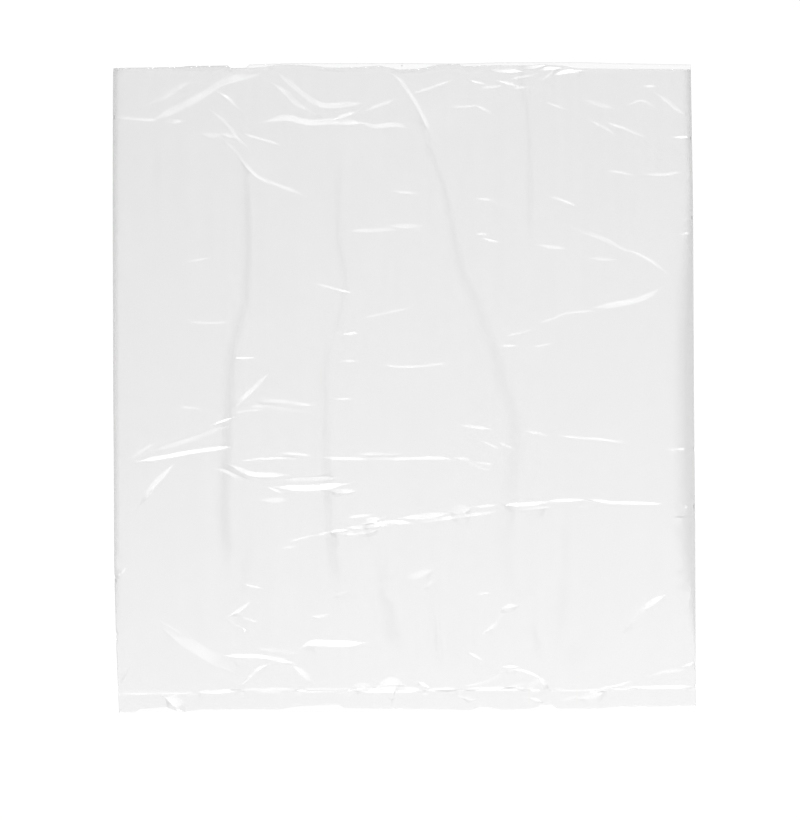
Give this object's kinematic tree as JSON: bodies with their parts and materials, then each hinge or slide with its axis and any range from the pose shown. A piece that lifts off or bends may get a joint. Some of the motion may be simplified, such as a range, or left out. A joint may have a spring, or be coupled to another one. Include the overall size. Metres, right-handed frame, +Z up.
{
  "type": "plastic sampling bag",
  "caption": "Clear film sampling bag lying flat: a seamless tube folded at its sides, welded shut above a short skirt and open at its mouth to take a sample.",
  "frame": {"origin": "on the table under the middle of the bag", "axes": "+Z up from the table through the front wall, +Y along the bag from the weld towards the mouth, +X to the right across its width"},
  "size_m": [0.45, 0.5, 0.0124],
  "materials": {
    "film": "gloss"
  },
  "bodies": {
    "root": {"bag": "film"}
  },
  "joints": []
}
